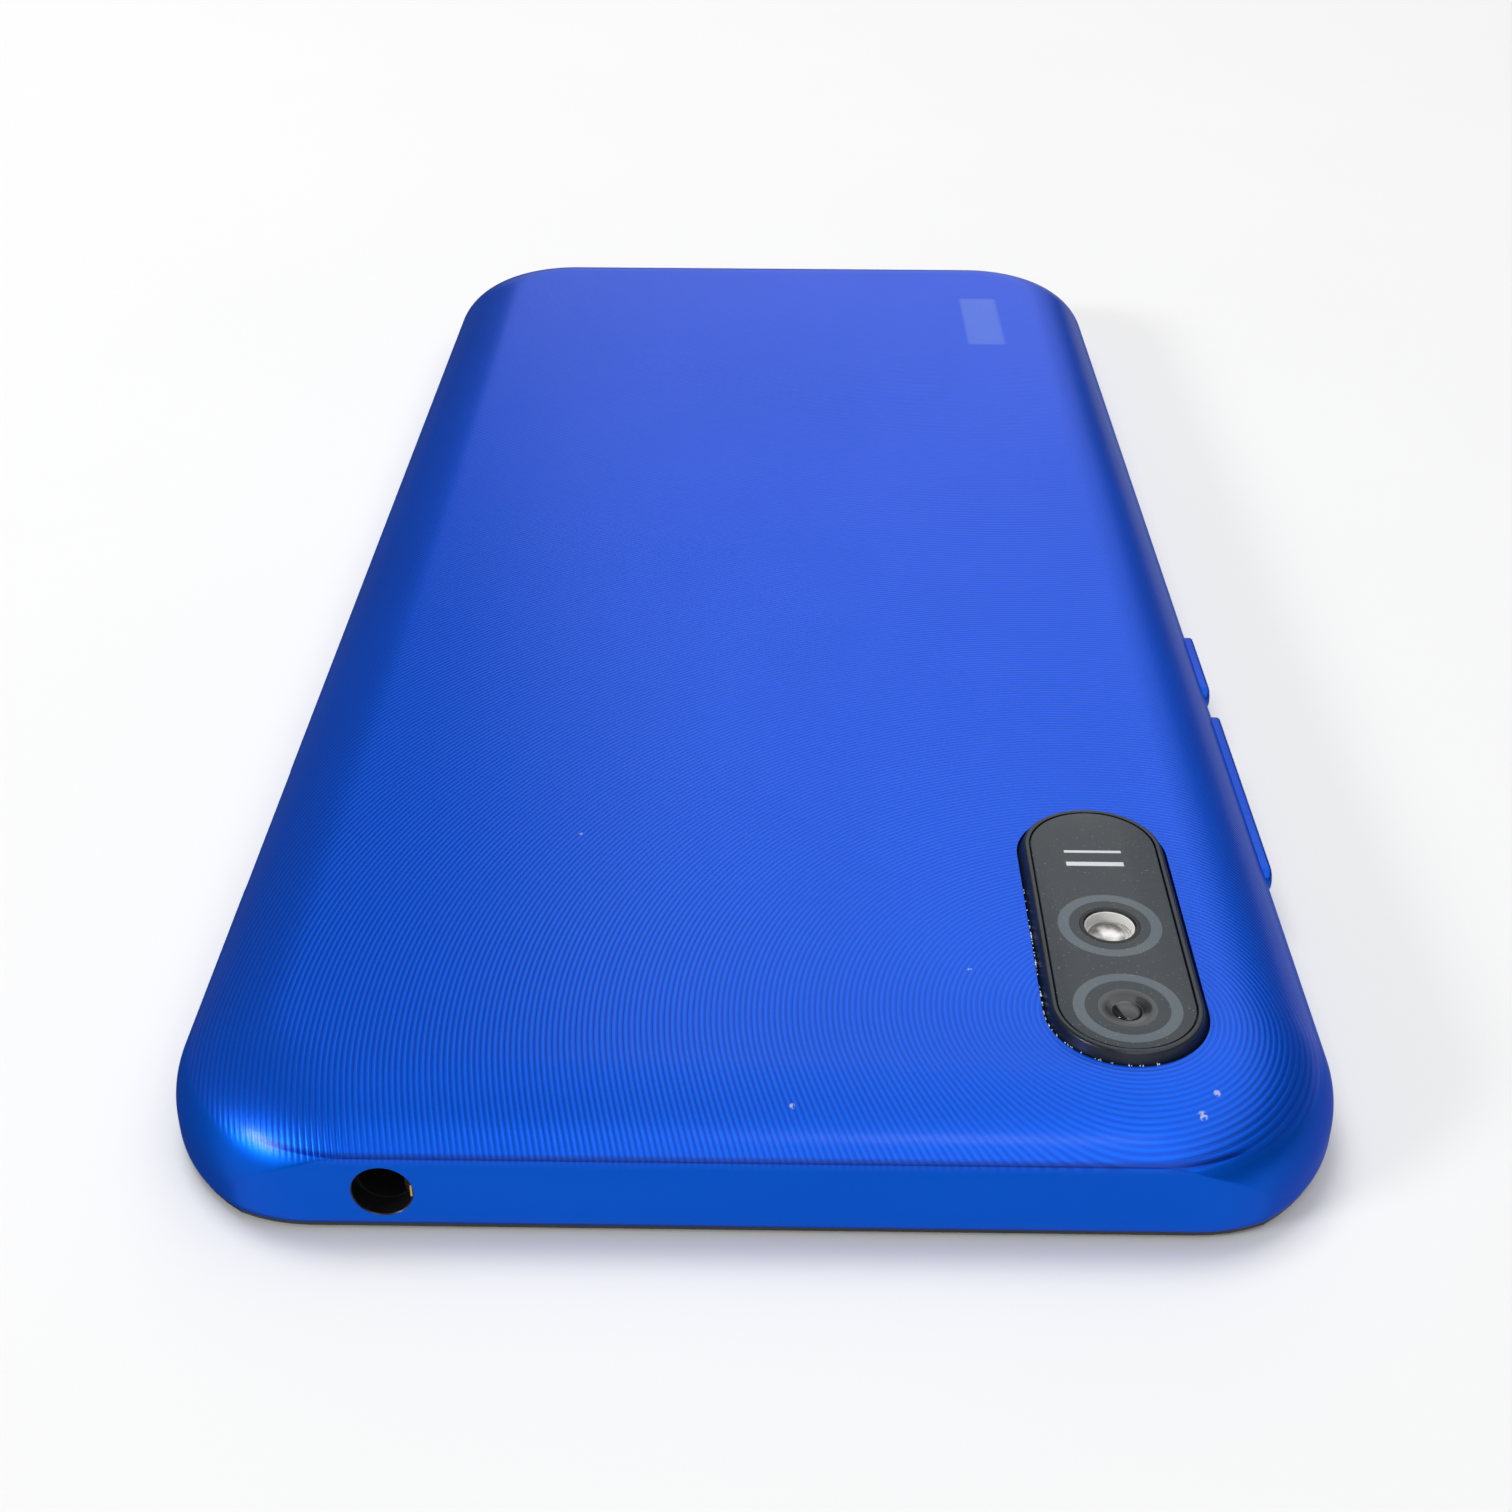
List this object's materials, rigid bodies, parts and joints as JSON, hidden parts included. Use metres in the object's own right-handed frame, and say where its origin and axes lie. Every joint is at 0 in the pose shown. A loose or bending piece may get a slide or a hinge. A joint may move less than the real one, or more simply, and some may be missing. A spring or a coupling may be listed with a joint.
{
  "type": "smartphone",
  "caption": "Slab smartphone with a blue one-piece rear cover, pill-shaped camera island, side keys, pull-out card tray and a full set of working internals.",
  "frame": {"origin": "centre of the cover glass's outer face, which the phone lies on", "axes": "+X towards the long side with the keys, +Y towards the end with the USB port, +Z out of the back"},
  "size_m": [0.0772, 0.165, 0.0098],
  "materials": {
    "cover_blue": "satin",
    "key_blue": "satin",
    "black_plastic": "satin",
    "dark_plastic": "matte",
    "island_trim": "gloss",
    "island_plate": "satin",
    "clear_lens": "polished",
    "led_phosphor": "satin",
    "foam": "matte",
    "polyimide": "satin",
    "steel_sheet": "satin",
    "plate_metal": "matte",
    "panel_black": "gloss",
    "front_glass": "polished",
    "adhesive": "matte",
    "white_adhesive": "matte",
    "mesh_black": "matte",
    "lens_black": "gloss",
    "board_green": "satin",
    "chip_black": "matte",
    "thermal_grey": "matte",
    "gold_plate": "polished",
    "battery_wrap": "satin",
    "coax_black": "satin",
    "tongue_white": "satin",
    "screw_steel": "satin",
    "weight_metal": "satin"
  },
  "bodies": {
    "phone": {"rear_cover": "cover_blue", "camera_bezel": "island_trim", "camera_window": "island_plate", "flash_lens": "clear_lens", "flash_led": "led_phosphor", "camera_gasket": "foam", "side_key_flex": "polyimide", "key_bracket": "steel_sheet", "sim_reader": "steel_sheet", "mid_frame": "black_plastic", "mid_plate": "plate_metal", "display_panel": "panel_black", "cover_glass": "front_glass", "display_adhesive": "adhesive", "display_flex": "polyimide", "earpiece_mesh": "mesh_black", "earpiece_receiver": "dark_plastic", "front_camera": "lens_black", "proximity_sensor": "lens_black", "rear_camera_module": "dark_plastic", "main_board": "board_green", "processor_chip": "chip_black", "memory_chip": "chip_black", "thermal_pad": "thermal_grey", "shield_can_processor": "steel_sheet", "shield_can_radio": "steel_sheet", "board_connectors": "chip_black", "antenna_springs": "gold_plate", "upper_bracket": "dark_plastic", "battery": "battery_wrap", "battery_adhesive": "white_adhesive", "battery_circuit": "polyimide", "interconnect_flex": "polyimide", "coax_cable": "coax_black", "sub_board": "board_green", "usb_port": "steel_sheet", "usb_tongue": "tongue_white", "microphone": "gold_plate", "lower_bracket": "dark_plastic", "speaker_module": "dark_plastic", "speaker_mesh": "mesh_black", "vibration_case": "steel_sheet", "audio_jack": "black_plastic", "audio_jack_contacts": "gold_plate", "case_screws": "screw_steel"},
    "power_key": {"power_button": "key_blue"},
    "volume_key": {"volume_button": "key_blue"},
    "card_tray": {"sim_tray": "key_blue"},
    "eject_rod": {"sim_eject_rod": "steel_sheet"},
    "eject_arm": {"sim_eject_arm": "steel_sheet"},
    "focus_barrel": {"rear_camera_lens": "lens_black"},
    "cone": {"speaker_cone": "chip_black"},
    "motor_weight": {"vibration_weight": "weight_metal"}
  },
  "joints": [
    {"name": "power_press", "type": "slide", "parent": "phone", "child": "power_key", "axis": [-1, 0, 0], "range_m": [0, 0.0003], "stiffness_N_per_m": 1500, "springref_m": -0.0002},
    {"name": "volume_rock", "type": "hinge", "parent": "phone", "child": "volume_key", "pos_m": [0.0353, -0.0371, 0.0039], "axis": [0, 0, 1], "range_deg": [-1.2, 1.2], "stiffness_Nm_per_rad": 1},
    {"name": "tray_slide", "type": "slide", "parent": "phone", "child": "card_tray", "axis": [-1, 0, 0], "range_m": [0, 0.036]},
    {"name": "eject_push", "type": "slide", "parent": "phone", "child": "eject_rod", "axis": [1, 0, 0], "range_m": [0, 0.0015]},
    {"name": "eject_turn", "type": "hinge", "parent": "phone", "child": "eject_arm", "pos_m": [0.0034, -0.0411, 0.004], "axis": [0, 0, -1], "range_deg": [0, 17.3]},
    {"name": "focus_slide", "type": "slide", "parent": "phone", "child": "focus_barrel", "axis": [0, 0, 1], "range_m": [0, 0.0003], "stiffness_N_per_m": 20},
    {"name": "cone_stroke", "type": "slide", "parent": "phone", "child": "cone", "axis": [0, 0, 1], "range_m": [-0.0002, 0.0002], "stiffness_N_per_m": 60},
    {"name": "motor_spin", "type": "hinge", "parent": "phone", "child": "motor_weight", "pos_m": [-0.021, 0.0715, 0.0048], "axis": [0, 0, 1], "continuous": true}
  ],
  "couplings": [
    {"joint": "eject_turn", "follows": "eject_push", "rad_per_m": 200}
  ]
}
